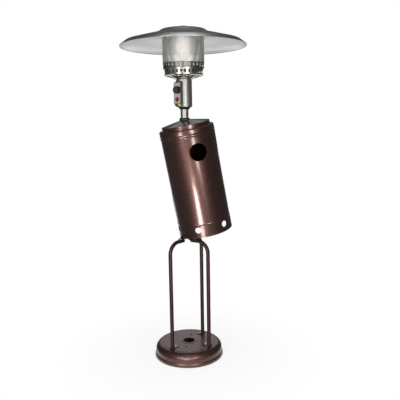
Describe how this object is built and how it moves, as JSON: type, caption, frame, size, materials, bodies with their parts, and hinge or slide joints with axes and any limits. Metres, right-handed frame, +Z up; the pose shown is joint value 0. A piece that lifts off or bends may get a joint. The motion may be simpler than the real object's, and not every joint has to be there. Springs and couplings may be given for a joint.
{
  "type": "gas space heater",
  "caption": "Free-standing patio gas heater: round base, bent legs, post with control head, perforated emitter under a dish reflector, bottle housing lifted and leaning.",
  "frame": {"origin": "centre of the base on the floor", "axes": "+Z up along the post, the picture is taken from the -Y side, +X to its right"},
  "size_m": [0.804, 0.804, 2.1886],
  "materials": {
    "bronze_paint": "hammered dark bronze stove paint",
    "zinc_steel": "bright zinc plate",
    "dark_fastener": "bronze-coloured fastener",
    "concrete": "cast concrete, sealed black",
    "polished_steel": "polished stainless sheet",
    "black_plastic": "moulded, fine grain",
    "red_plastic": "moulded, smooth",
    "lime_dot": "plain round foil with nothing on it",
    "valve_brass": "machined",
    "burner_iron": "as cast",
    "heat_steel": "perforated stainless sheet",
    "spun_aluminium": "spun, satin",
    "copper_lead": "drawn copper",
    "white_ceramic": "glazed insulator",
    "rubber_lead": "silicone sleeve"
  },
  "bodies": {
    "stand": {"base_shell": "bronze_paint", "base_floor": "black_plastic", "base_ballast": "concrete", "leg_front_left": "bronze_paint", "leg_front_right": "bronze_paint", "leg_back_right": "bronze_paint", "leg_feet": "bronze_paint", "foot_bolts": "zinc_steel", "foot_nuts": "zinc_steel", "hub_plate": "bronze_paint", "hub_bolts": "zinc_steel", "hub_nuts": "zinc_steel", "seat_ring": "black_plastic", "post": "polished_steel", "post_spigot": "zinc_steel", "post_screws": "dark_fastener", "head_collar": "black_plastic", "control_floor": "zinc_steel", "control_housing": "polished_steel", "control_panel": "polished_steel", "control_screws": "polished_steel", "gas_valve": "valve_brass", "gas_inlet": "valve_brass", "valve_bracket": "zinc_steel", "stem_spring": "zinc_steel", "igniter_body": "black_plastic", "igniter_bezel": "black_plastic", "igniter_spring": "zinc_steel", "tilt_switch": "black_plastic", "burner_cone": "polished_steel", "gas_jet": "valve_brass", "venturi_tube": "burner_iron", "burner_head": "burner_iron", "pilot_plate": "zinc_steel", "pilot_burner": "valve_brass", "thermocouple": "heat_steel", "spark_electrode": "white_ceramic", "pilot_tube": "valve_brass", "thermocouple_lead": "copper_lead", "spark_lead": "rubber_lead", "emitter_base": "polished_steel", "emitter_screen": "heat_steel", "emitter_top": "polished_steel", "reflector_dish": "spun_aluminium", "reflector_spacers": "polished_steel", "reflector_crown": "spun_aluminium", "reflector_stud": "zinc_steel", "wing_nut": "zinc_steel"},
    "guide_collar": {"guide_collar": "black_plastic"},
    "tank_housing": {"housing_shell": "bronze_paint", "housing_lid": "bronze_paint", "lid_rivets": "zinc_steel"},
    "stem_collar": {"stem_collar": "valve_brass"},
    "control_knob": {"valve_stem": "valve_brass", "control_knob": "black_plastic"},
    "igniter_button": {"igniter_button": "red_plastic"}
  },
  "joints": [
    {"name": "housing_lift", "type": "slide", "parent": "stand", "child": "guide_collar", "axis": [0, 0, 1], "range_m": [0, 0.045]},
    {"name": "housing_tilt", "type": "hinge", "parent": "guide_collar", "child": "tank_housing", "pos_m": [0, 0, 1.59712], "axis": [0.454, -0.891, 0], "range_deg": [-11, 0]},
    {"name": "knob_push", "type": "slide", "parent": "stand", "child": "stem_collar", "axis": [0.6157, 0.788, 0], "range_m": [0, 0.004], "stiffness_N_per_m": 800},
    {"name": "knob_turn", "type": "hinge", "parent": "stem_collar", "child": "control_knob", "pos_m": [0, 0, 1.78401], "axis": [-0.6157, -0.788, 0], "range_deg": [0, 180]},
    {"name": "igniter_press", "type": "slide", "parent": "stand", "child": "igniter_button", "axis": [0.6157, 0.788, 0], "range_m": [0, 0.0045], "stiffness_N_per_m": 800}
  ]
}
